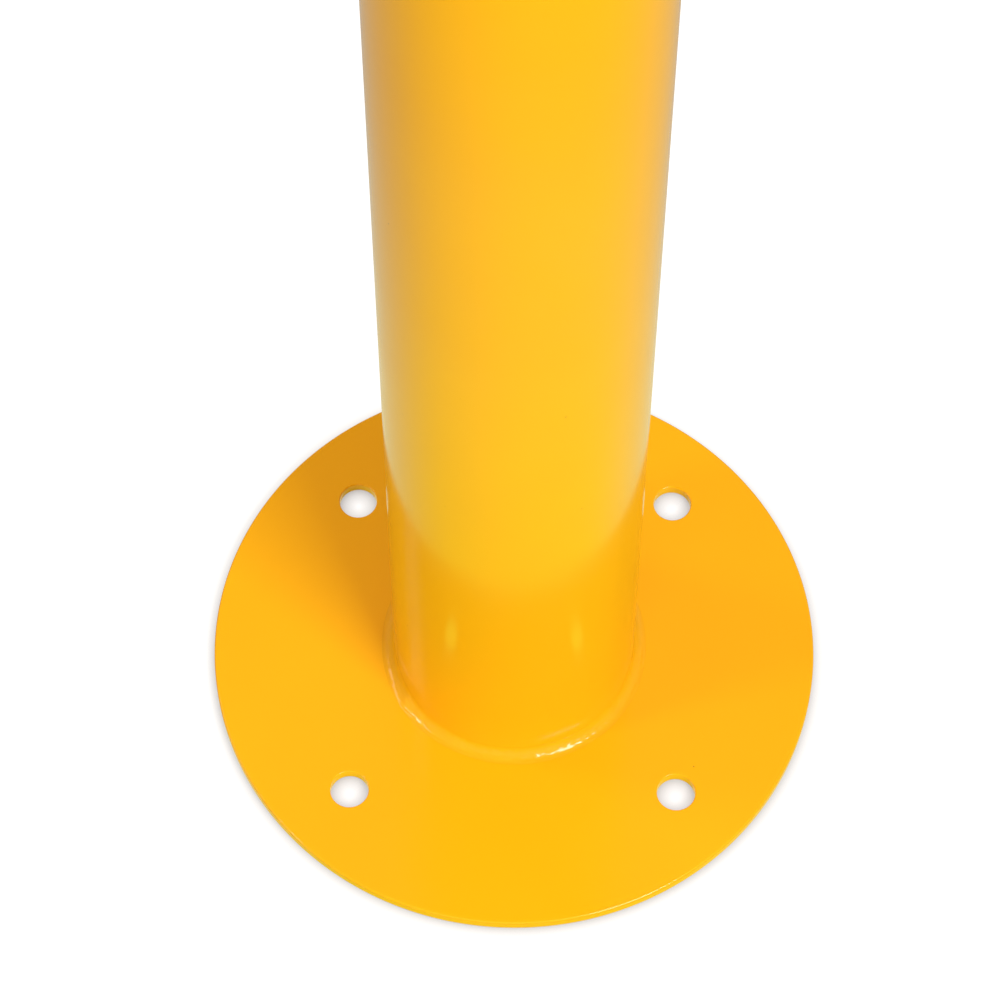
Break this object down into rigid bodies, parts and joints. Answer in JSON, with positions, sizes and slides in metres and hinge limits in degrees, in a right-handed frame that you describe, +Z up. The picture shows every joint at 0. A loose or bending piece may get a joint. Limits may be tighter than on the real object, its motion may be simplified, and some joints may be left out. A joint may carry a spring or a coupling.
{
  "type": "retractable bollard",
  "caption": "Round yellow telescopic bollard: a post slides up out of a tubular casing welded to a bolt-down base plate and locks in its collar with a key.",
  "frame": {"origin": "centre of the base plate's underside", "axes": "+Z up along the post, +Y towards the guide key, +X towards the right lock bolt"},
  "size_m": [0.287, 0.287, 0.893],
  "materials": {
    "casing_paint": "gloss",
    "post_paint": "gloss",
    "zinc_steel": "satin",
    "stainless_steel": "brushed",
    "key_brass": "satin",
    "guide_plastic": "matte",
    "black_rubber": "matte",
    "reflective_film": "gloss"
  },
  "bodies": {
    "casing": {"base_plate": "casing_paint", "casing_tube": "casing_paint", "base_weld": "casing_paint", "guide_key": "zinc_steel", "buffer_ring": "black_rubber", "collar": "zinc_steel", "collar_screws": "stainless_steel", "upper_guide_band": "guide_plastic", "lower_guide_band": "guide_plastic", "wiper_seal": "black_rubber", "cover_ring": "stainless_steel", "cover_screws": "stainless_steel"},
    "post": {"post_tube": "post_paint", "post_foot": "zinc_steel", "foot_screws": "stainless_steel", "foot_wear_ring": "guide_plastic", "foot_retainer": "zinc_steel", "retainer_screws": "stainless_steel", "reflective_band_upper": "reflective_film", "reflective_band_lower": "reflective_film", "post_cap": "post_paint", "cap_seal": "black_rubber", "cap_screws": "stainless_steel", "handle_pins": "stainless_steel", "key_cover_pin": "stainless_steel", "rod_bush": "guide_plastic", "lock_block": "zinc_steel", "block_screws": "stainless_steel"},
    "handle": {"lift_handle": "stainless_steel"},
    "cover": {"key_cover": "stainless_steel"},
    "lock_shaft": {"key_barrel": "key_brass", "thrust_washer": "guide_plastic", "barrel_clip": "stainless_steel", "drive_rod": "stainless_steel", "barrel_cross_pin": "stainless_steel", "cam_cross_pin": "stainless_steel", "lock_cam": "zinc_steel"},
    "right_bolt": {"lock_bolt_right": "stainless_steel", "follower_pin_right": "stainless_steel"},
    "left_bolt": {"lock_bolt_left": "stainless_steel", "follower_pin_left": "stainless_steel"}
  },
  "joints": [
    {"name": "post_slide", "type": "slide", "parent": "casing", "child": "post", "axis": [0, 0, 1], "range_m": [0, 0.7198]},
    {"name": "handle_fold", "type": "hinge", "parent": "post", "child": "handle", "pos_m": [0, 0.012, 0.885], "axis": [-1, 0, 0], "range_deg": [0, 90]},
    {"name": "cover_hinge", "type": "hinge", "parent": "post", "child": "cover", "pos_m": [0, 0.016, 0.8904], "axis": [-1, 0, 0], "range_deg": [0, 110]},
    {"name": "key_turn", "type": "hinge", "parent": "post", "child": "lock_shaft", "pos_m": [0, 0, 0.889], "axis": [0, 0, 1], "range_deg": [0, 90]},
    {"name": "right_bolt_slide", "type": "slide", "parent": "post", "child": "right_bolt", "axis": [1, 0, 0], "range_m": [0, 0.007]},
    {"name": "left_bolt_slide", "type": "slide", "parent": "post", "child": "left_bolt", "axis": [-1, 0, 0], "range_m": [0, 0.007]}
  ],
  "couplings": [
    {"joint": "right_bolt_slide", "follows": "key_turn", "m_per_rad": 0.0044563},
    {"joint": "left_bolt_slide", "follows": "key_turn", "m_per_rad": 0.0044563}
  ]
}
